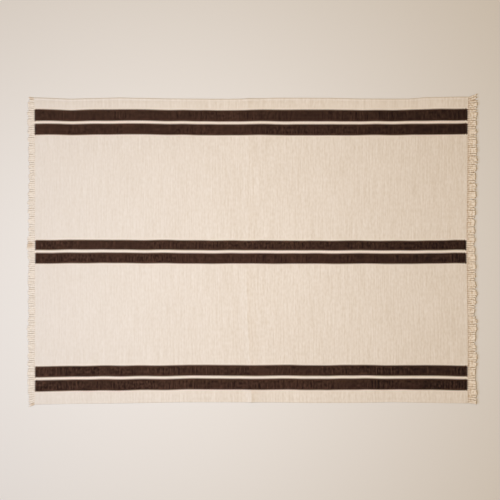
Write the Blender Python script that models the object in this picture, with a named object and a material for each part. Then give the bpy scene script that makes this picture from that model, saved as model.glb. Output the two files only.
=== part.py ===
"""A flat-woven rug that lies on the floor, with a short knotted fringe at its two warp ends.

X runs along the rug's length, which is the way of its warp and of its stripes, and Y across it.
Z is up, with the floor at zero. Lengths are in metres.
"""

import math
import random
from collections import namedtuple

import bmesh
import bpy
from mathutils import Vector

# The woven cloth
CLOTH_LENGTH = 1.990
CLOTH_WIDTH = 1.404
CLOTH_THICKNESS = 0.004
SELVEDGE_RIM = 0.0032  # thickness at the very edge
SELVEDGE_CORD = 0.0052  # thickness over the doubled warps of the selvedge
SELVEDGE_CORD_INSET = 0.005
SELVEDGE_INSET = 0.011
SECTION_COUNT = 40
ROW_COUNT = 16  # a multiple of 4, so that edges meet the cloth's ends at each row of their tables

# How far each edge lies outside its straight line, from one end of the edge to the other
EdgeRow = namedtuple("EdgeRow", "along outward")
FAR_EDGE = (
    EdgeRow(-0.975, 0.0031),
    EdgeRow(-0.828, -0.0029),
    EdgeRow(-0.605, 0.0030),
    EdgeRow(-0.385, -0.0015),
    EdgeRow(-0.090, -0.0033),
    EdgeRow(0.130, 0.0020),
    EdgeRow(0.355, 0.0015),
    EdgeRow(0.500, -0.0020),
    EdgeRow(0.720, -0.0022),
    EdgeRow(0.800, 0.0044),
    EdgeRow(0.945, 0.0070),
)
NEAR_EDGE = (
    EdgeRow(-0.975, 0.0077),
    EdgeRow(-0.828, 0.0043),
    EdgeRow(-0.605, 0.0020),
    EdgeRow(-0.310, -0.0034),
    EdgeRow(-0.090, -0.0032),
    EdgeRow(0.130, -0.0023),
    EdgeRow(0.280, 0.0000),
    EdgeRow(0.500, -0.0005),
    EdgeRow(0.645, -0.0037),
    EdgeRow(0.795, -0.0009),
    EdgeRow(0.945, 0.0014),
)
LEFT_END = (
    EdgeRow(-CLOTH_WIDTH / 2, 0.0004),
    EdgeRow(-CLOTH_WIDTH / 4, -0.0004),
    EdgeRow(0.0, -0.0010),
    EdgeRow(CLOTH_WIDTH / 4, 0.0000),
    EdgeRow(CLOTH_WIDTH / 2, 0.0026),
)
RIGHT_END = (
    EdgeRow(-CLOTH_WIDTH / 2, 0.0010),
    EdgeRow(-CLOTH_WIDTH / 4, 0.0006),
    EdgeRow(0.0, -0.0050),
    EdgeRow(CLOTH_WIDTH / 4, -0.0010),
    EdgeRow(CLOTH_WIDTH / 2, 0.0024),
)

# The fold that the rug was packed with: a low ridge across its middle
CreaseRow = namedtuple("CreaseRow", "along shift height")
CREASE = (
    CreaseRow(-0.700, -0.002, 0.0046),
    CreaseRow(-0.480, -0.007, 0.0032),
    CreaseRow(-0.300, -0.016, 0.0032),
    CreaseRow(-0.115, -0.021, 0.0024),
    CreaseRow(0.100, -0.012, 0.0014),
    CreaseRow(0.450, -0.010, 0.0012),
    CreaseRow(0.700, -0.013, 0.0026),
)
CREASE_LEFT_FLANK = 0.034
CREASE_RIGHT_FLANK = 0.042
CREASE_SHIFT_REACH = 0.40  # how far from the crease the sections lean with it

# The fringe: each warp bundle is knotted close to the cloth and hangs on as one strand
PIECE_GAP = 0.0003
STRIP_WIDTH = 0.005
STRAND_COUNT = 147
STRAND_WIDTH = 0.0056
STRAND_THICKNESS = 0.0032
STRAND_STEPS = 3
STRAND_TIP_SCALE = 0.72
STRAND_BEND = 1.3  # the lean grows towards the tip
GATHER_SWAY = 0.0022  # strands lean together in small locks
GATHER_LENGTH = 0.041
DRIFT_SWAY = 0.0011
DRIFT_LENGTH = 0.127
SWAY_SCATTER = 0.0005
LENGTH_SCATTER = 0.0014
StrandRow = namedtuple("StrandRow", "along length lean")
LEFT_STRANDS = (
    StrandRow(-0.702, 0.024, -0.016),
    StrandRow(-0.680, 0.026, -0.010),
    StrandRow(-0.638, 0.030, -0.003),
    StrandRow(-0.555, 0.033, 0.000),
    StrandRow(-0.444, 0.028, 0.001),
    StrandRow(-0.365, 0.035, -0.001),
    StrandRow(-0.305, 0.028, 0.000),
    StrandRow(-0.130, 0.031, 0.001),
    StrandRow(-0.050, 0.028, 0.000),
    StrandRow(0.015, 0.036, -0.002),
    StrandRow(0.090, 0.027, 0.001),
    StrandRow(0.220, 0.031, 0.000),
    StrandRow(0.320, 0.025, -0.001),
    StrandRow(0.469, 0.027, 0.001),
    StrandRow(0.640, 0.030, 0.001),
    StrandRow(0.702, 0.024, 0.004),
)
RIGHT_STRANDS = (
    StrandRow(-0.702, 0.027, -0.008),
    StrandRow(-0.665, 0.033, -0.003),
    StrandRow(-0.573, 0.025, 0.002),
    StrandRow(-0.480, 0.033, -0.002),
    StrandRow(-0.430, 0.023, 0.002),
    StrandRow(-0.333, 0.034, 0.002),
    StrandRow(-0.290, 0.020, -0.002),
    StrandRow(-0.255, 0.026, 0.000),
    StrandRow(-0.195, 0.034, -0.002),
    StrandRow(-0.130, 0.028, 0.001),
    StrandRow(-0.043, 0.033, 0.001),
    StrandRow(0.036, 0.026, 0.000),
    StrandRow(0.190, 0.028, -0.001),
    StrandRow(0.276, 0.031, 0.001),
    StrandRow(0.345, 0.027, 0.000),
    StrandRow(0.400, 0.034, 0.001),
    StrandRow(0.585, 0.028, 0.001),
    StrandRow(0.635, 0.032, 0.002),
    StrandRow(0.680, 0.031, 0.008),
    StrandRow(0.702, 0.030, 0.014),
)

# Colours are (red, green, blue, alpha), linear
CREAM_WOOL = (0.76, 0.66, 0.52, 1.0)
FRINGE_COTTON = (0.72, 0.61, 0.46, 1.0)

X_AXIS = Vector((1, 0, 0))
Y_AXIS = Vector((0, 1, 0))


def read_table(rows, place, column):
    """A column's value at a place, on the straight line between the two rows beside it."""
    for low, high in zip(rows, rows[1:]):
        if place <= high.along:
            share = max(0.0, (place - low.along) / (high.along - low.along))
            return getattr(low, column) * (1 - share) + getattr(high, column) * share
    return getattr(rows[-1], column)


def cut_across(mesh, axis, place):
    """A line of edges all the way round a mesh, where a plane across the axis meets it."""
    everything = mesh.verts[:] + mesh.edges[:] + mesh.faces[:]
    bmesh.ops.bisect_plane(mesh, geom=everything, plane_co=axis * place, plane_no=axis)


def make_material(name, colour):
    material = bpy.data.materials.new(name)
    material.use_nodes = True
    shader = material.node_tree.nodes["Principled BSDF"]
    shader.inputs["Base Color"].default_value = colour
    shader.inputs["Roughness"].default_value = 0.9
    shader.inputs["Metallic"].default_value = 0.0
    return material


def make_object(name, mesh, material, collection):
    bmesh.ops.recalc_face_normals(mesh, faces=mesh.faces)
    data = bpy.data.meshes.new(name)
    mesh.to_mesh(data)
    mesh.free()
    data.materials.append(material)
    piece = bpy.data.objects.new(name, data)
    collection.objects.link(piece)
    return piece


def end_place(side, across):
    """Where the cloth ends at the left (side -1) or the right (side 1)."""
    rows = RIGHT_END if side > 0 else LEFT_END
    return side * (CLOTH_LENGTH / 2 + read_table(rows, across, "outward"))


def spread_across(along, across):
    """The place across the rug once its long edge has its own line."""
    rows = FAR_EDGE if across > 0 else NEAR_EDGE
    return across * (1 + read_table(rows, along, "outward") / (CLOTH_WIDTH / 2))


def even_places(length, count):
    """The places that part a centred length into a count of even steps."""
    return [length * (index / count - 0.5) for index in range(1, count)]


def cloth_thickness(across):
    inset = CLOTH_WIDTH / 2 - abs(across)
    if inset < SELVEDGE_CORD_INSET / 2:
        return SELVEDGE_RIM
    if inset < (SELVEDGE_CORD_INSET + SELVEDGE_INSET) / 2:
        return SELVEDGE_CORD
    return CLOTH_THICKNESS


def crease_lift(along, across):
    """The height of the ridge over the floor, with hollow flanks on both sides of its crest."""
    flank = CREASE_LEFT_FLANK if along < 0 else CREASE_RIGHT_FLANK
    near_crest = max(0.0, 1 - abs(along) / flank)
    return read_table(CREASE, across, "height") * near_crest**1.5


def lay_cloth_point(point):
    """Moves a point of the plain cloth block to where it is in the rug as it lies."""
    along, across = point.x, point.y
    side = 1 if along > 0 else -1
    stretch = abs(end_place(side, across)) / (CLOTH_LENGTH / 2)
    shift_share = max(0.0, 1 - abs(along) / CREASE_SHIFT_REACH)
    shift = read_table(CREASE, across, "shift") * shift_share
    height = crease_lift(along, across)
    if point.z > 0:
        height += cloth_thickness(across)
    return Vector((along * stretch + shift, spread_across(along, across), height))


def make_cloth(collection):
    mesh = bmesh.new()
    bmesh.ops.create_cube(mesh, size=1)
    bmesh.ops.scale(mesh, verts=mesh.verts, vec=(CLOTH_LENGTH, CLOTH_WIDTH, CLOTH_THICKNESS))
    sections = even_places(CLOTH_LENGTH, SECTION_COUNT)
    sections += [-CREASE_LEFT_FLANK * share for share in (1.0, 0.6, 0.25)]
    sections += [CREASE_RIGHT_FLANK * share for share in (0.25, 0.6, 1.0)]
    for place in sections:
        cut_across(mesh, X_AXIS, place)
    rows = even_places(CLOTH_WIDTH, ROW_COUNT)
    for inset in (SELVEDGE_CORD_INSET, SELVEDGE_INSET):
        rows += [inset - CLOTH_WIDTH / 2, CLOTH_WIDTH / 2 - inset]
    for place in rows:
        cut_across(mesh, Y_AXIS, place)
    for vert in mesh.verts:
        vert.co = lay_cloth_point(vert.co)
    return make_object("woven_field", mesh, make_material("cream_wool", CREAM_WOOL), collection)


def strand_plan(rows, seed):
    """The root's place, the length and the sideways lean of each strand of one fringe."""
    scatter = random.Random(seed)
    pitch = CLOTH_WIDTH / STRAND_COUNT
    plan = []
    for index in range(STRAND_COUNT):
        root = (index + 0.5) * pitch - CLOTH_WIDTH / 2
        gather = GATHER_SWAY * math.sin(math.tau * root / GATHER_LENGTH + seed)
        drift = DRIFT_SWAY * math.sin(math.tau * root / DRIFT_LENGTH + 2 * seed)
        lean = read_table(rows, root, "lean") + gather + drift
        lean += scatter.uniform(-SWAY_SCATTER, SWAY_SCATTER)
        length = read_table(rows, root, "length")
        length += scatter.uniform(-LENGTH_SCATTER, LENGTH_SCATTER)
        plan.append((root, length, lean))
    return plan


def face_middle(face):
    return face.calc_center_median()


def make_fringe(name, side, plan, material, collection):
    """One backing strip along a warp end, with its strands drawn out of the strip's outer side."""
    mesh = bmesh.new()
    bmesh.ops.create_cube(mesh, size=1)
    bmesh.ops.scale(mesh, verts=mesh.verts, vec=(STRIP_WIDTH, CLOTH_WIDTH, STRAND_THICKNESS))
    bmesh.ops.translate(mesh, verts=mesh.verts, vec=(0, 0, STRAND_THICKNESS / 2))
    for root, _, _ in plan:
        cut_across(mesh, Y_AXIS, root - STRAND_WIDTH / 2)
        cut_across(mesh, Y_AXIS, root + STRAND_WIDTH / 2)
    outer_faces = [face for face in mesh.faces if face.normal.x * side > 0.9]
    outer_faces.sort(key=lambda face: face_middle(face).y)
    tips = outer_faces[1::2]  # strands and the spaces between them take turns

    for vert in mesh.verts:
        across = vert.co.y
        beyond = PIECE_GAP if vert.co.x * side < 0 else PIECE_GAP + STRIP_WIDTH
        vert.co.x = end_place(side, across) + side * beyond
        vert.co.y = spread_across(side * CLOTH_LENGTH / 2, across)

    for step in range(STRAND_STEPS):
        tips = bmesh.ops.extrude_discrete_faces(mesh, faces=tips)["faces"]
        tips.sort(key=lambda face: face_middle(face).y)
        before = step / STRAND_STEPS
        after = (step + 1) / STRAND_STEPS
        thinner = (1 - (1 - STRAND_TIP_SCALE) * after) / (1 - (1 - STRAND_TIP_SCALE) * before)
        for face, (_, length, lean) in zip(tips, plan):
            middle = face_middle(face)
            forward = side * length / STRAND_STEPS
            sideways = lean * (after**STRAND_BEND - before**STRAND_BEND)
            for vert in face.verts:
                vert.co.x += forward
                vert.co.y = middle.y + sideways + (vert.co.y - middle.y) * thinner
                vert.co.z *= thinner
    return make_object(name, mesh, material, collection)


def stand_on_origin(pieces):
    """Puts the middle of the whole rug's box over the origin."""
    corners = [vert.co for piece in pieces for vert in piece.data.vertices]
    middle_x = (min(co.x for co in corners) + max(co.x for co in corners)) / 2
    middle_y = (min(co.y for co in corners) + max(co.y for co in corners)) / 2
    for piece in pieces:
        piece.location = (-middle_x, -middle_y, 0)


def make_rug():
    collection = bpy.data.collections.new("striped_rug")
    bpy.context.scene.collection.children.link(collection)
    left_cotton = make_material("left_fringe_cotton", FRINGE_COTTON)
    right_cotton = make_material("right_fringe_cotton", FRINGE_COTTON)
    left_plan = strand_plan(LEFT_STRANDS, seed=1)
    right_plan = strand_plan(RIGHT_STRANDS, seed=2)
    pieces = [
        make_cloth(collection),
        make_fringe("fringe_left", -1, left_plan, left_cotton, collection),
        make_fringe("fringe_right", 1, right_plan, right_cotton, collection),
    ]
    stand_on_origin(pieces)


for old in list(bpy.data.objects):
    bpy.data.objects.remove(old, do_unlink=True)
make_rug()
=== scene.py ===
import functools
import math
import random

import bmesh
import bpy
from mathutils import Matrix, Vector, noise


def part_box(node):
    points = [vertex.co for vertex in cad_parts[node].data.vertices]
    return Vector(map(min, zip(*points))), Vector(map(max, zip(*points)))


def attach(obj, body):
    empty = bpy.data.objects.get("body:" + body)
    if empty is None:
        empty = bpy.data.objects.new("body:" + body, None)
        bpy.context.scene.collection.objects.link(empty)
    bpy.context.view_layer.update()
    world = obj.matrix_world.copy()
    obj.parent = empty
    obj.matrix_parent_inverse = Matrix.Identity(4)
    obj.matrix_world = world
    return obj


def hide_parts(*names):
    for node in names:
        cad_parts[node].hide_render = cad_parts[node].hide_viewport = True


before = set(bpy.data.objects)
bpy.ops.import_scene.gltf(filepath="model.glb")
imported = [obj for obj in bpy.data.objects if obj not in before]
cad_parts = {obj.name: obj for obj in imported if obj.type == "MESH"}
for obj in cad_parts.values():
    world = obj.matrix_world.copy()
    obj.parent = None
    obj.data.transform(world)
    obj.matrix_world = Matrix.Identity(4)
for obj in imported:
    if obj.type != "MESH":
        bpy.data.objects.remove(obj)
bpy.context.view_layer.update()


# Small helpers

def readTable(rows, place, column=1):  # a column's value, straight between the two rows beside the place
    for low, high in zip(rows, rows[1:]):
        if place <= high[0]:
            share = max(0.0, (place - low[0]) / (high[0] - low[0]))
            return low[column] * (1 - share) + high[column] * share
    return rows[-1][column]


def grain(x, y, seed):  # smooth noise from -1 to 1, one bump or hollow for each unit of x and y
    return noise.noise(Vector((x, y, seed)))


def keepMesh(name, mesh):
    bmesh.ops.recalc_face_normals(mesh, faces=mesh.faces)
    data = bpy.data.meshes.new(name)
    mesh.to_mesh(data)
    mesh.free()
    data.shade_smooth()
    piece = bpy.data.objects.new(name, data)
    bpy.context.scene.collection.objects.link(piece)
    return piece


class Wire:  # a socket in a material: Python's operators on it add Math nodes
    def __init__(self, tree, socket=None):
        self.tree = tree
        self.socket = socket

    def node(self, kind, settings=None, values=None, output=0):
        made = self.tree.nodes.new(kind)
        for name, value in (settings or {}).items():
            setattr(made, name, value)
        for name, value in (values or {}).items():
            if isinstance(value, Wire):
                self.tree.links.new(value.socket, made.inputs[name])
            else:
                made.inputs[name].default_value = value
        return Wire(self.tree, made.outputs[output])

    def math(self, operation, *values):
        return self.node("ShaderNodeMath", {"operation": operation}, dict(enumerate(values)))

    def __add__(self, other):
        return self.math("ADD", self, other)

    def __radd__(self, other):
        return self.math("ADD", other, self)

    def __sub__(self, other):
        return self.math("SUBTRACT", self, other)

    def __rsub__(self, other):
        return self.math("SUBTRACT", other, self)

    def __mul__(self, other):
        return self.math("MULTIPLY", self, other)

    def __rmul__(self, other):
        return self.math("MULTIPLY", other, self)

    def __truediv__(self, other):
        return self.math("DIVIDE", self, other)

    def __abs__(self):
        return self.math("ABSOLUTE", self)

    def wave(self):  # a sine that makes one round for each unit
        return self.math("SINE", self * math.tau)

    def zigzag(self):  # a straight-sided wave from 0 to 1 and back for each unit
        return self.math("PINGPONG", self, 0.5) * 2

    def atLeast(self, low):
        return self.math("MAXIMUM", self, low)

    def atMost(self, high):
        return self.math("MINIMUM", self, high)

    def under(self, limit):  # 1 where this is less than the limit, otherwise 0
        return self.math("LESS_THAN", self, limit)

    def part(self, axis):
        return self.node("ShaderNodeSeparateXYZ", None, {0: self}, axis)

    def stretched(self, scale, shift=(0, 0, 0)):
        sockets = {"Vector": self, "Scale": scale, "Location": shift}
        return self.node("ShaderNodeMapping", None, sockets)

    def clouds(self, scale, shift=(0, 0, 0), detail=0.0):  # noise around 0, from about -0.5 to 0.5
        sockets = {"Vector": self.stretched(scale, shift), "Scale": 1.0, "Detail": detail}
        return self.node("ShaderNodeTexNoise", {"noise_dimensions": "2D"}, sockets) - 0.5

    def mixed(self, first, second):  # from the first colour to the second one as this goes from 0 to 1
        sockets = {0: self, 6: first, 7: second}
        return self.node("ShaderNodeMix", {"data_type": "RGBA"}, sockets, 2)


def startMaterial(name):
    material = bpy.data.materials.new(name)
    material.use_nodes = True
    return material, material.node_tree, material.node_tree.nodes["Principled BSDF"]


def linkShader(tree, shader, colour, roughness, height, look):
    sockets = {"Strength": 1.0, "Distance": look["bumpDepth"], "Height": height}
    bump = Wire(tree).node("ShaderNodeBump", None, sockets)
    tree.links.new(colour.socket, shader.inputs["Base Color"])
    tree.links.new(roughness.socket, shader.inputs["Roughness"])
    tree.links.new(bump.socket, shader.inputs["Normal"])
    shader.inputs["Sheen Weight"].default_value = look["sheen"]
    shader.inputs["Sheen Roughness"].default_value = look["sheenRoughness"]
    shader.inputs["Specular IOR Level"].default_value = look["gloss"]


# The cloth as it lies: its outline, its drifting warps and its fold

cloth = {
    "length": 1.990,
    "width": 1.404,
    "columns": 474,
    "rows": 96,
    "creaseLeftFlank": 0.034,
    "creaseRightFlank": 0.042,
    "creaseShiftReach": 0.40,
    "creaseSharpness": 1.5,
    "cockle": 0.0006,  # the long edges lift a little here and there
    "cockleLength": 0.05,
    "cockleReach": 0.05,
    "cockleNoise": (40, 3.3),  # the noise's row, minus it at the near edge, and its seed
    "cordOverEnd": 0.0012,  # a selvedge cord keeps some of its height at the warp ends
    "solidLeftBulge": 0.0026,  # how far the solid's left end and near edge lie outside their straight lines
    "solidNearBulge": 0.0077,
}
# Rows of (length along and across, where in the noise, height): the wefts stand proud or sink in streaks
# across the rug, and the whole cloth has slow ripples
reliefLayers = [
    (0.011, 0.16, 1.7, 0.00022),
    (0.024, 0.33, 5.1, 0.000132),
    (0.075, 0.30, 9.4, 0.00035),
]
# Rows of (inset from the long edge, underside, top): a round cord of doubled warps and a groove inside it
selvedge = [
    (0.0000, 0.0014, 0.0026),
    (0.0008, 0.0004, 0.0042),
    (0.0024, 0.0000, 0.0051),
    (0.0045, 0.0000, 0.0053),
    (0.0068, 0.0000, 0.0049),
    (0.0086, 0.0000, 0.0040),
    (0.0100, 0.0000, 0.0034),
    (0.0125, 0.0000, 0.0040),
]
# The same at the warp ends, where the last wefts are beaten down
wovenEnd = [
    (0.0000, 0.0008, 0.0026),
    (0.0009, 0.0002, 0.0037),
    (0.0030, 0.0000, 0.0040),
]
# Rows of (place along the edge, how far the edge lies outside its straight line)
farEdge = [
    (-0.975, 0.0031), (-0.828, -0.0029), (-0.605, 0.0030), (-0.385, -0.0015), (-0.090, -0.0033),
    (0.130, 0.0020), (0.355, 0.0015), (0.500, -0.0020), (0.720, -0.0022), (0.800, 0.0044),
    (0.945, 0.0070),
]
nearEdge = [
    (-0.975, 0.0077), (-0.828, 0.0043), (-0.605, 0.0020), (-0.310, -0.0034), (-0.090, -0.0032),
    (0.130, -0.0023), (0.280, 0.0000), (0.500, -0.0005), (0.645, -0.0037), (0.795, -0.0009),
    (0.945, 0.0014),
]
leftEnd = [(-0.702, 0.0030), (-0.351, 0.0022), (0.0, 0.0016), (0.351, 0.0026), (0.702, 0.0052)]
rightEnd = [(-0.702, 0.0050), (-0.351, 0.0046), (0.0, -0.0010), (0.351, 0.0030), (0.702, 0.0064)]
# Rows of (place across, how far the crest is shifted along, its height)
crease = [
    (-0.700, 0.003, 0.0072), (-0.480, -0.008, 0.0046), (-0.300, -0.018, 0.0047),
    (-0.115, -0.021, 0.0033), (0.100, -0.012, 0.0016), (0.450, -0.010, 0.0014), (0.700, -0.013, 0.0030),
]
# Rows of (place along, drift across of the upper, the middle and the lower pair of stripes)
warpDrift = [
    (-0.975, 0.0016, 0.0004, -0.0059),
    (-0.828, -0.0001, 0.0018, -0.0030),
    (-0.680, 0.0014, 0.0027, -0.0019),
    (-0.606, 0.0022, 0.0022, -0.0018),
    (-0.385, 0.0000, 0.0010, 0.0004),
    (-0.238, -0.0006, -0.0003, 0.0014),
    (-0.090, -0.0021, -0.0002, 0.0017),
    (0.058, -0.0014, -0.0009, 0.0005),
    (0.279, -0.0006, -0.0012, 0.0005),
    (0.500, -0.0012, -0.0012, 0.0023),
    (0.722, -0.0005, -0.0016, 0.0012),
    (0.796, 0.0011, -0.0014, 0.0005),
    (0.943, 0.0033, 0.0007, -0.0006),
]
pairPlaces = {"upper": 0.590, "middle": -0.005, "lower": -0.585}


@functools.cache
def driftAnchors(along):  # (place across as woven, how far it drifts), from the near edge to the far one
    return [
        (-cloth["width"] / 2, -readTable(nearEdge, along)),
        (pairPlaces["lower"], readTable(warpDrift, along, 3)),
        (pairPlaces["middle"], readTable(warpDrift, along, 2)),
        (pairPlaces["upper"], readTable(warpDrift, along, 1)),
        (cloth["width"] / 2, readTable(farEdge, along)),
    ]


@functools.cache
def endStretch(side, across):
    rows = rightEnd if side > 0 else leftEnd
    return 1 + readTable(rows, across) / (cloth["length"] / 2)


@functools.cache
def creaseRow(across):
    return readTable(crease, across, 1), readTable(crease, across, 2)


def placeOnFloor(along, across):  # where a place of the cloth as woven lies in the frame, seen from above
    side = 1 if along > 0 else -1
    shift, _ = creaseRow(across)
    shift *= max(0.0, 1 - abs(along) / cloth["creaseShiftReach"])
    x = along * endStretch(side, across) + shift
    y = across + readTable(driftAnchors(along), across)
    return x + clothMiddle.x, y + clothMiddle.y


def creaseLift(along, across):
    flank = cloth["creaseLeftFlank"] if along < 0 else cloth["creaseRightFlank"]
    nearCrest = max(0.0, 1 - abs(along) / flank)
    return creaseRow(across)[1] * nearCrest ** cloth["creaseSharpness"]


def weaveRelief(along, across):
    return sum(
        height * grain(along / lengthAlong, across / lengthAcross, seed)
        for lengthAlong, lengthAcross, seed, height in reliefLayers
    )


def cockleLift(along, across, edgeInset):
    row, seed = cloth["cockleNoise"]
    lift = max(0.0, grain(along / cloth["cockleLength"], math.copysign(row, across), seed))
    return lift * cloth["cockle"] * max(0.0, 1 - edgeInset / cloth["cockleReach"])


def layerHeights(along, across):  # the underside and the top of the cloth over the floor
    edgeInset = cloth["width"] / 2 - abs(across)
    endInset = cloth["length"] / 2 - abs(along)
    low = max(readTable(selvedge, edgeInset, 1), readTable(wovenEnd, endInset, 1))
    high = min(readTable(selvedge, edgeInset, 2), readTable(wovenEnd, endInset, 2) + cloth["cordOverEnd"])
    inward = min(1.0, edgeInset / selvedge[-1][0], endInset / wovenEnd[-1][0])
    lift = creaseLift(along, across) + cockleLift(along, across, edgeInset)
    return low + lift, high + lift + weaveRelief(along, across) * inward


def evenPlaces(length, count, insets):  # from one edge to the other, with closer places near both edges
    inner = length / 2 - insets[-1]
    evenCount = count - 2 * (len(insets) - 1)
    middle = [inner * (2 * index / evenCount - 1) for index in range(evenCount + 1)]
    left = [inset - length / 2 for inset in insets[:-1]]
    return left + middle + [-place for place in reversed(left)]


def makeCloth():
    columnPlaces = evenPlaces(cloth["length"], cloth["columns"], [row[0] for row in wovenEnd])
    rowPlaces = evenPlaces(cloth["width"], cloth["rows"], [row[0] for row in selvedge])
    mesh = bmesh.new()
    wovenPlace = mesh.verts.layers.float_vector.new("wovenPlace")
    bmesh.ops.create_grid(mesh, x_segments=cloth["columns"], y_segments=cloth["rows"], size=0.5)
    for vert in mesh.verts:
        along = columnPlaces[round((vert.co.x + 0.5) * cloth["columns"])]
        across = rowPlaces[round((vert.co.y + 0.5) * cloth["rows"])]
        vert[wovenPlace] = (along, across, 0)
        vert.co = (along, across, 0)
    bmesh.ops.solidify(mesh, geom=mesh.faces[:], thickness=selvedge[-1][2])
    middleHeight = sum(vert.co.z for vert in mesh.verts) / len(mesh.verts)
    for vert in mesh.verts:
        along, across, _ = vert[wovenPlace]
        low, high = layerHeights(along, across)
        x, y = placeOnFloor(along, across)
        vert.co = (x, y, high if vert.co.z > middleHeight else low)
    return keepMesh("wovenCloth", mesh)


# Wool of the cloth: stripes, weave and streaks of yarn

wool = {
    "creamPale": (0.880, 0.820, 0.752, 1),
    "creamDeep": (0.752, 0.675, 0.580, 1),
    "creamHighlight": (0.950, 0.900, 0.840, 1),
    "creamFaded": (0.800, 0.770, 0.745, 1),  # cooler towards the left end
    "fadedLeft": 0.50,
    "brownPale": (0.098, 0.0470, 0.0300, 1),
    "brownDeep": (0.008, 0.0020, 0.0010, 1),
    "creamTone": 0.50,
    "creamContrast": 0.60,
    "creamContrastSlope": 0.02,  # the streaks show a little more towards the right end
    "brownContrast": 0.54,
    "brownContrastSlope": -0.16,
    "brownFleck": 1.75,  # dark and pale flecks as small as a few wefts, more in the lower stripes
    "brownFleckSlope": -0.80,
    "brownTone": 0.40,
    "brownShadeRight": 0.27,
    "toothPitch": 0.01200,  # along a stripe, from one turn of the wefts to the next
    "toothDepth": 0.0047,  # across, from the tips of the teeth to the notches between them
    "toothSteepness": 2.2,
    "joinReach": 0.0042,  # next to a join the wefts turn back and lie fuller, and the cream beside it carries a painted highlight
    "joinHighlight": 0.95,
    "joinDarker": 0.10,
    "shared": (0.430, 0.275, 0.158, 1),  # wool of both colours round the warp that a join shares
    "sharedReach": 0.0010,
    "brownDots": 0.40,  # rows of dots where groups of wefts change over
    "creamDots": 0.16,
    "creamDotsAway": 0.35,  # share of that which shows away from the far edge
    "warpPitch": 0.0047,
    "weftPitch": 0.0016,
    "pairRidge": 0.5,  # at the ends the warps draw together in pairs, one for each fringe strand
    "pairReach": 0.016,
    "endBite": 0.0080,  # how far the fringe's pale roots reach in between the last wefts
    "endBiteStart": 0.35,
    "bumpDepth": 0.0006,
    "bulgeHeight": 0.45,
    "threadHeight": 0.35,
    "streakHeight": 0.25,
    "fluffHeight": 0.35,
    "roughness": 0.88,
    "roughnessOfFluff": 0.12,
    "roughnessOfStreaks": 0.03,
    "sheen": 0.06,
    "sheenRoughness": 0.6,
    "gloss": 0.12,
}
# Rows of (features in a metre along and across, where in the noise, weight in the streaks' tone)
streakLayers = [
    ((128, 62, 1), (3, 7, 0), 1.15),
    ((175, 20, 1), (8, 1, 0), 0.85),
    ((150, 5, 1), (11, 2, 0), 0.95),
    ((620, 9, 1), (5, 1, 0), 0.80),
    ((7, 4, 1), (1, 4, 0), 0.30),
]
# (features in a metre along and across, where in the noise, detail)
fleckNoise = ((175, 105, 1), (6, 6, 0), 1.0)
fluffNoise = ((900, 900, 1), (2, 2, 0), 2.0)
# Rows of (features in a metre along and across, how far the stripes' edges wander with them)
wanderLayers = [((9, 3, 1), 0.004), ((83, 30, 1), 0.001)]
# Rows of (middle of the stripe across the rug, its width)
stripes = [
    (0.6233, 0.0534),
    (0.5589, 0.0518),
    (0.0251, 0.0458),
    (-0.0351, 0.0492),
    (-0.5530, 0.0503),
    (-0.6164, 0.0525),
]


def outsideStripes(across):  # how far a place is from the nearest stripe, less than 0 inside it
    distance = cloth["width"]
    for middle, width in stripes:
        distance = (abs(across - middle) - width / 2).atMost(distance)
    return distance


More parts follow.
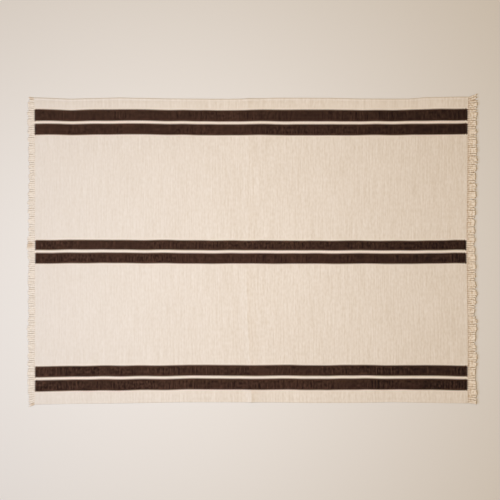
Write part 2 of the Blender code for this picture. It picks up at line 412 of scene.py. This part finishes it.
def makeWool():
    material, tree, shader = startMaterial("wovenWool")
    start = Wire(tree)
    place = start.node("ShaderNodeAttribute", {"attribute_name": "wovenPlace"}, None, 1)
    along = place.part(0)
    across = place.part(1)

    # stripes, with the fine saw-tooth edge of wefts that turn back round neighbouring warps
    zigzag = ((along / wool["toothPitch"]).zigzag() - 0.5) * wool["toothSteepness"]
    teeth = zigzag.atLeast(-0.5).atMost(0.5) * wool["toothDepth"]
    wander = 0
    for scale, reach in wanderLayers:
        wander = wander + place.clouds(scale) * reach
    outside = outsideStripes(across + teeth + wander)
    inStripe = outside.under(0)
    nearJoin = outside.under(wool["joinReach"]) - inStripe
    insideJoin = inStripe - outside.under(-wool["joinReach"])
    sharedWarp = abs(outside).under(wool["sharedReach"])

    # the strands' roots show between the last wefts, and raise the cloth's end in ridges
    endInset = cloth["length"] / 2 - abs(along)
    pairs = (across * (fringe["count"] / cloth["width"]) + 0.5).zigzag()
    biteEdge = (pairs - wool["endBiteStart"]) * wool["endBite"]
    woven = 1 - endInset.under(biteEdge)
    ridge = pairs * (1 - endInset / wool["pairReach"]).atLeast(0)

    # yarn streaks across the rug: short and long ones a few wefts wide, single threads, slow patches
    streak = 0
    for scale, shift, weight in streakLayers:
        streak = streak + place.clouds(scale, shift) * weight
    fleck = place.clouds(*fleckNoise)
    fluff = place.clouds(*fluffNoise)

    # cream, with faint dots, cooler at the left, and a painted highlight beside the joins
    dots = (along / wool["toothPitch"]).wave() * (across / (2 * wool["warpPitch"])).wave()
    dotsShown = 1 - across.under(stripes[0][0]) * (1 - wool["creamDotsAway"])
    creamReach = wool["creamContrast"] + along * wool["creamContrastSlope"]
    creamTone = streak * creamReach + dots * dotsShown * wool["creamDots"] + wool["creamTone"]
    cream = creamTone.mixed(wool["creamDeep"], wool["creamPale"])
    faded = (0 - along).atLeast(0) * wool["fadedLeft"]
    cream = faded.mixed(cream, wool["creamFaded"])
    # painted highlight: paler cream beside the joins, where the fuller wefts catch the light
    cream = (nearJoin * wool["joinHighlight"]).mixed(cream, wool["creamHighlight"])

    # brown, with flecks and dots, painted shade towards the right end, and darker just inside the joins
    fleckReach = wool["brownFleck"] + across * wool["brownFleckSlope"]
    brownReach = wool["brownContrast"] + across * wool["brownContrastSlope"]
    brownTone = streak * brownReach + fleck * fleckReach + dots * wool["brownDots"]
    # painted shade: the brown grows darker towards the right end, away from the lamp; the joins are darker
    # too
    shadeRightAndDarkJoin = along.atLeast(0) * wool["brownShadeRight"] + insideJoin * wool["joinDarker"]
    brown = (brownTone + wool["brownTone"] - shadeRightAndDarkJoin).mixed(wool["brownDeep"], wool["brownPale"])
    colour = (inStripe * woven).mixed(cream, brown)
    colour = (sharedWarp * woven).mixed(colour, wool["shared"])

    # weft-faced weave: each weft row bulges over every other warp, and the next row over those between
    weftRow = along / wool["weftPitch"]
    oddRow = start.math("FLOORED_MODULO", start.math("FLOOR", weftRow), 2) * 0.5
    bulge = abs(((across / wool["warpPitch"] + oddRow) * 0.5).wave())
    thread = abs((weftRow * 0.5).wave())
    height = bulge * wool["bulgeHeight"] + thread * wool["threadHeight"] + streak * wool["streakHeight"]
    height = height + fluff * wool["fluffHeight"] + ridge * wool["pairRidge"]
    roughness = fluff * wool["roughnessOfFluff"] + streak * wool["roughnessOfStreaks"] + wool["roughness"]
    linkShader(tree, shader, colour, roughness, height, wool)
    return material


# The fringe: bundles of warp ends, knotted where they leave the cloth, that lie together in locks

fringe = {
    "count": 147,
    "gap": 0.0003,
    "knotReach": 0.005,
    "rootInside": 0.0030,  # how far a strand starts inside the cloth's end
    "sides": 6,
    "bend": 1.3,
    "gatherSway": 0.0022,
    "gatherLength": 0.041,
    "lockRound": 0.0016,  # the middle strands of a lock reach further than its outer ones
    "driftSway": 0.0011,
    "driftLength": 0.127,
    "swayScatter": 0.0005,
    "lengthScatter": 0.0014,
    "widthScatter": 0.12,
    "curl": 0.0011,  # strands snake a little from side to side
    "curlTurn": 5,
    "liftShares": (0.5, 1.0),  # each tip is raised by its own share of the end's lift
    "liftBend": 1.5,
    "rootRise": 0.0012,  # the roots come out of the middle of the cloth's thickness
    "rootRiseBend": 3,
    "underLength": 0.80,  # a second, lower layer of strands fills the spaces of the upper one
    "underHeight": 0.55,
    "shapeSeed": 20,
}
# Rows of (share of the strand, half its width, half its height) for each end of the rug
leftShape = [
    (0.00, 0.0030, 0.0015), (0.08, 0.0040, 0.0018), (0.17, 0.0050, 0.0020), (0.30, 0.0052, 0.0018),
    (0.42, 0.0050, 0.0015), (0.56, 0.0051, 0.0014), (0.72, 0.0049, 0.0013), (0.86, 0.0044, 0.0012),
    (0.96, 0.0031, 0.0009), (1.00, 0.0014, 0.0005),
]
rightShape = [
    (0.00, 0.0024, 0.0016), (0.08, 0.0024, 0.0018), (0.15, 0.0031, 0.0022), (0.24, 0.0048, 0.0025),
    (0.44, 0.0050, 0.0022), (0.60, 0.0048, 0.0020), (0.76, 0.0049, 0.0020), (0.90, 0.0046, 0.0019),
    (0.97, 0.0037, 0.0016), (1.00, 0.0022, 0.0008),
]
# Rows of (place across, length, lean across at the tip)
leftStrands = [
    (-0.702, 0.024, -0.016), (-0.680, 0.026, -0.010), (-0.638, 0.030, -0.003), (-0.555, 0.033, 0.000),
    (-0.444, 0.028, 0.001), (-0.365, 0.035, -0.001), (-0.305, 0.028, 0.000), (-0.130, 0.031, 0.001),
    (-0.050, 0.028, 0.000), (0.015, 0.036, -0.002), (0.090, 0.027, 0.001), (0.220, 0.031, 0.000),
    (0.320, 0.025, -0.001), (0.469, 0.027, 0.001), (0.640, 0.030, 0.001), (0.702, 0.024, 0.004),
]
rightStrands = [
    (-0.702, 0.027, -0.008), (-0.665, 0.033, -0.003), (-0.573, 0.025, 0.002), (-0.480, 0.033, -0.002),
    (-0.430, 0.023, 0.002), (-0.333, 0.034, 0.002), (-0.290, 0.020, -0.002), (-0.255, 0.026, 0.000),
    (-0.195, 0.034, -0.002), (-0.130, 0.028, 0.001), (-0.043, 0.033, 0.001), (0.036, 0.026, 0.000),
    (0.190, 0.028, -0.001), (0.276, 0.031, 0.001), (0.345, 0.027, 0.000), (0.400, 0.034, 0.001),
    (0.585, 0.028, 0.001), (0.635, 0.032, 0.002), (0.680, 0.031, 0.008), (0.702, 0.030, 0.014),
]
# Longer is added to the table's lengths, and lift is how far the tips lie above the floor at most
fringeEnds = {
    "fringeLeft": {
        "node": "fringe_left", "side": -1, "strands": leftStrands, "shape": leftShape,
        "longer": -0.0026, "lift": 0.0008, "seed": 1,
    },
    "fringeRight": {
        "node": "fringe_right", "side": 1, "strands": rightStrands, "shape": rightShape,
        "longer": 0.0042, "lift": 0.0068, "seed": 2,
    },
}


def strandPlan(end, layer):  # the root's place, the length and the lean of each strand
    rows, seed = end["strands"], end["seed"]
    scatter = random.Random(seed)
    pitch = cloth["width"] / fringe["count"]
    plan = []
    for index in range(fringe["count"] - layer):  # the lower layer, layer 1, lies half a pitch aside
        root = (index + 0.5 + layer / 2) * pitch - cloth["width"] / 2
        lock = math.tau * root / fringe["gatherLength"] + seed
        drift = fringe["driftSway"] * math.sin(math.tau * root / fringe["driftLength"] + 2 * seed)
        lean = readTable(rows, root, 2) + fringe["gatherSway"] * math.sin(lock) + drift
        lean += scatter.uniform(-fringe["swayScatter"], fringe["swayScatter"])
        length = readTable(rows, root, 1) + end["longer"] - fringe["lockRound"] * math.cos(lock)
        length += scatter.uniform(-fringe["lengthScatter"], fringe["lengthScatter"])
        length *= fringe["underLength"] if layer else 1
        plan.append((root, length, lean))
    return plan


class Strand:  # one bundle of warp ends, from its root inside the cloth's end to its tip
    def __init__(self, end, layer, root, length, lean, scatter):
        side = end["side"]
        x, y = placeOnFloor(side * cloth["length"] / 2, root)
        self.start = Vector((x - side * fringe["rootInside"], y, 0))
        self.reach = side * (fringe["rootInside"] + fringe["gap"] + fringe["knotReach"] + length)
        self.lean = lean
        self.shape = end["shape"]
        self.flatness = fringe["underHeight"] if layer else 1
        lift = 0 if layer else end["lift"]
        self.lift = lift * scatter.uniform(*fringe["liftShares"])
        self.wider = 1 + scatter.uniform(-1, 1) * fringe["widthScatter"]
        self.curlPhase = scatter.uniform(0, math.tau)

    def section(self, share):  # the middle of the strand there, half its width and half its height
        width = readTable(self.shape, share, 1) * self.wider
        height = readTable(self.shape, share, 2) * self.flatness
        curl = fringe["curl"] * share * math.sin(self.curlPhase + fringe["curlTurn"] * share)
        sideways = self.lean * share ** fringe["bend"] + curl
        rise = fringe["rootRise"] * self.flatness * (1 - share) ** fringe["rootRiseBend"]
        up = height + self.lift * share ** fringe["liftBend"] + rise
        return self.start + Vector((self.reach * share, sideways, up)), width, height


def growStrands(mesh, end, strands, layer):
    strandPlace = mesh.verts.layers.float_vector["strandPlace"]
    strandKind = mesh.verts.layers.float_vector["strandKind"]
    towardsTip = Matrix.Rotation(end["side"] * math.pi / 2, 4, "Y")
    tips = []
    for strand in strands:
        middle, width, height = strand.section(0)
        root = Matrix.Translation(middle) @ towardsTip @ Matrix.Diagonal((height, width, 1, 1))
        rim = bmesh.ops.create_circle(mesh, segments=fringe["sides"], radius=1, cap_ends=True, matrix=root)
        tips.append(rim["verts"][0].link_faces[0])
    for (before, _, _), (after, _, _) in zip(end["shape"], end["shape"][1:]):
        tips = bmesh.ops.extrude_discrete_faces(mesh, faces=tips)["faces"]
        tips.sort(key=lambda face: face.calc_center_median().y)  # in the strands' own order again
        for face, strand in zip(tips, strands):
            oldMiddle, oldWidth, oldHeight = strand.section(before)
            newMiddle, newWidth, newHeight = strand.section(after)
            growth = Matrix.Diagonal((1, newWidth / oldWidth, newHeight / oldHeight))
            for vert in face.verts:
                vert.co = newMiddle + growth @ (vert.co - oldMiddle)
                offset = vert.co - newMiddle
                vert[strandPlace] = (after * abs(strand.reach), offset.y, offset.z)
                vert[strandKind] = (after, layer, end["side"])


def makeFringe(name, end):
    scatter = random.Random(end["seed"] + fringe["shapeSeed"])
    mesh = bmesh.new()
    mesh.verts.layers.float_vector.new("strandPlace")
    mesh.verts.layers.float_vector.new("strandKind")  # share of the length, layer and side of the rug
    for layer in (0, 1):
        strands = [Strand(end, layer, *row, scatter) for row in strandPlan(end, layer)]
        growStrands(mesh, end, strands, layer)
    return keepMesh(name, mesh)


cotton = {
    "pale": (0.945, 0.862, 0.748, 1),
    "deep": (0.655, 0.515, 0.365, 1),
    "shaded": (0.475, 0.325, 0.200, 1),  # painted shade on the lower layer, and on the right end's roots and tips
    "bleached": (0.865, 0.856, 0.850, 1),
    "bleachedLeft": 0.35,
    "stain": (0.600, 0.430, 0.260, 1),
    "tone": 0.645,
    "strandContrast": 0.50,
    "fibreContrast": 0.30,
    "plyLength": 0.0065,
    "plyContrast": 0.36,
    "plyContrastRight": 0.24,  # the right end is twisted more firmly than the left one
    "clumpContrast": 1.25,  # paler and deeper places as long as a strand is wide
    "clumpContrastRight": 0.65,
    "underShade": 0.36,
    "underShadeRight": 0.22,
    "rootShade": 0.42,  # painted shade between the right end's knots, next to the cloth
    "rootReach": 0.32,
    "tipHighlight": 0.92,
    "tipHighlightRise": 5,
    "tipStart": 0.90,  # share of the length where the painted shade on the right end's tips begins
    "tipShade": 1.00,
    "bumpDepth": 0.0005,
    "plyHeight": 0.8,
    "fibreHeight": 0.5,
    "roughness": 0.90,
    "roughnessOfFibre": 0.10,
    "sheen": 0.10,
    "sheenRoughness": 0.5,
    "gloss": 0.20,
}
# (features in a metre along and across, where in the noise, detail)
strandNoise = ((2, 105, 1), (4, 4, 0))
clumpNoise = ((130, 105, 1), (7, 2, 0))
fibreNoise = ((900, 1500, 1), (1, 3, 0), 2.0)
# Rows of (middle of a stain in x and y, its reach both ways, its strength): brownish ends at the left
stains = [
    ((-1.019, 0.027), (0.024, 0.021), 0.55),
    ((-1.003, -0.710), (0.015, 0.012), 0.60),
    ((-1.011, 0.703), (0.014, 0.009), 0.45),
]


def makeCotton():
    material, tree, shader = startMaterial("fringeCotton")
    start = Wire(tree)
    place = start.node("ShaderNodeAttribute", {"attribute_name": "strandPlace"}, None, 1)
    where = start.node("ShaderNodeTexCoord", None, None, 3)
    around = start.math("ARCTAN2", place.part(2), place.part(1)) / math.tau
    ply = abs((place.part(0) / cotton["plyLength"] + around).wave())
    fibre = where.clouds(*fibreNoise)
    kind = start.node("ShaderNodeAttribute", {"attribute_name": "strandKind"}, None, 1)
    share, layer, side = (kind.part(axis) for axis in range(3))

    # strands, their clumps, plies and fibres are each a little paler or deeper than the others
    plyReach = cotton["plyContrast"] + side * cotton["plyContrastRight"]
    clumpReach = cotton["clumpContrast"] + side * cotton["clumpContrastRight"]
    tone = (ply - 0.5) * plyReach + where.clouds(*clumpNoise) * clumpReach + cotton["tone"]
    tone = tone + where.clouds(*strandNoise) * cotton["strandContrast"] + fibre * cotton["fibreContrast"]
    # painted highlight: the raised tips of the right end are paler along the rim that faces the light
    tone = tone + start.math("POWER", share, cotton["tipHighlightRise"]) * side.atLeast(0) * cotton["tipHighlight"]

    # painted shade at the right end's tips and roots and on the lower layer, bleach at the left end, stains
    tipShare = (share - cotton["tipStart"]).atLeast(0) / (1 - cotton["tipStart"])
    rootShare = (1 - share / cotton["rootReach"]).atLeast(0)
    # painted shade: the right end's roots darken where the cloth's end shades them, and its tips where they
    # turn from the light
    rightEndShade = (tipShare * cotton["tipShade"] + rootShare * cotton["rootShade"]) * side
    shade = rightEndShade.atLeast(layer * (cotton["underShade"] + side * cotton["underShadeRight"]))
    bleach = (0 - side).atLeast(0) * cotton["bleachedLeft"]
    clean = bleach.mixed(tone.mixed(cotton["deep"], cotton["pale"]), cotton["bleached"])
    plain = shade.mixed(clean, cotton["shaded"])
    stained = 0
    for middle, reach, strength in stains:
        offsetX = (where.part(0) - middle[0]) / reach[0]
        offsetY = (where.part(1) - middle[1]) / reach[1]
        stained = stained + (1 - offsetX * offsetX - offsetY * offsetY).atLeast(0) * strength
    colour = stained.mixed(plain, cotton["stain"])

    height = ply * cotton["plyHeight"] + fibre * cotton["fibreHeight"]
    roughness = fibre * cotton["roughnessOfFibre"] + cotton["roughness"]
    linkShader(tree, shader, colour, roughness, height, cotton)
    return material


# Floor, light and camera

floorLook = {
    "size": 30,
    "dark": (0.740, 0.730, 0.715, 1),
    "pale": (0.820, 0.810, 0.795, 1),
    "tone": 0.50,
    "speckleContrast": 0.08,
    "bumpDepth": 0.00005,
    "roughness": 0.75,
    "roughnessOfSpeckles": 0.10,
    "sheen": 0,
    "sheenRoughness": 0.5,
    "gloss": 0.5,
}
speckleNoise = ((260, 260, 1), (0, 0, 0), 3.0)
stage = {
    "metresPerPixel": 0.004612,
    "clothMiddlePixel": (251.0, 250.7),
    "imagePixels": 500,
    "cameraHeight": 6.0,
    "sensor": 36.0,
    "clipEnd": 60,
}
# Rows of (name, place, what it points at, size, power, colour)
lamps = [
    ("windowLeft", (-4.90, -1.75, 3.50), (0, 0, 0), 0.9, 129.5, (0.508, 0.692, 1.0)),
    ("softAbove", (-0.30, -0.08, 2.35), (-0.30, -0.08, 0), 1.4, 33.8, (0.897, 0.931, 1.0)),
]
ambient = {"colour": (1.0, 0.723, 0.383, 1), "strength": 0.48}


def makeFloor():
    mesh = bmesh.new()
    bmesh.ops.create_grid(mesh, x_segments=1, y_segments=1, size=floorLook["size"] / 2)
    floor = keepMesh("floor", mesh)
    material, tree, shader = startMaterial("paleFloor")
    speckle = Wire(tree).node("ShaderNodeTexCoord", None, None, 3).clouds(*speckleNoise)
    tone = speckle * floorLook["speckleContrast"] + floorLook["tone"]
    colour = tone.mixed(floorLook["dark"], floorLook["pale"])
    roughness = speckle * floorLook["roughnessOfSpeckles"] + floorLook["roughness"]
    linkShader(tree, shader, colour, roughness, speckle, floorLook)
    floor.data.materials.append(material)
    return floor


def aimAt(thing, target):
    direction = Vector(target) - thing.location
    thing.rotation_euler = direction.to_track_quat("-Z", "Y").to_euler()


def makeLamps():
    for name, place, target, size, power, colour in lamps:
        data = bpy.data.lights.new(name, "AREA")
        data.shape = "DISK"
        data.size = size
        data.energy = power
        data.color = colour
        lamp = bpy.data.objects.new(name, data)
        bpy.context.scene.collection.objects.link(lamp)
        lamp.location = place
        aimAt(lamp, target)
    world = bpy.data.worlds.new("roomLight")
    bpy.context.scene.world = world
    world.use_nodes = True
    backdrop = world.node_tree.nodes["Background"]
    backdrop.inputs["Color"].default_value = ambient["colour"]
    backdrop.inputs["Strength"].default_value = ambient["strength"]


def makeCamera():
    data = bpy.data.cameras.new("topCamera")
    camera = bpy.data.objects.new("topCamera", data)
    bpy.context.scene.collection.objects.link(camera)
    half = stage["imagePixels"] / 2
    right = (half - stage["clothMiddlePixel"][0]) * stage["metresPerPixel"]
    up = (stage["clothMiddlePixel"][1] - half) * stage["metresPerPixel"]
    camera.location = (clothMiddle.x + right, clothMiddle.y + up, stage["cameraHeight"])
    viewWidth = stage["imagePixels"] * stage["metresPerPixel"]
    data.sensor_width = stage["sensor"]
    data.lens = stage["sensor"] * stage["cameraHeight"] / viewWidth
    data.clip_end = stage["clipEnd"]
    bpy.context.scene.camera = camera


clothLow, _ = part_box("woven_field")
clothMiddle = Vector((
    clothLow.x + cloth["length"] / 2 + cloth["solidLeftBulge"],
    clothLow.y + cloth["width"] / 2 + cloth["solidNearBulge"],
    0,
))
bpy.context.scene.view_settings.view_transform = "Standard"

floor = makeFloor()
makeLamps()
makeCamera()
print("floor, lamps and camera are in place")

wovenCloth = makeCloth()
wovenCloth.data.materials.append(makeWool())
print("cloth woven:", len(wovenCloth.data.polygons), "faces")

cottonYarn = makeCotton()
for name, end in fringeEnds.items():
    piece = makeFringe(name, end)
    piece.data.materials.append(cottonYarn)
    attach(piece, "root")
    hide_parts(end["node"])
    print("fringe knotted:", name, len(piece.data.polygons), "faces")

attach(wovenCloth, "root")
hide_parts("woven_field")
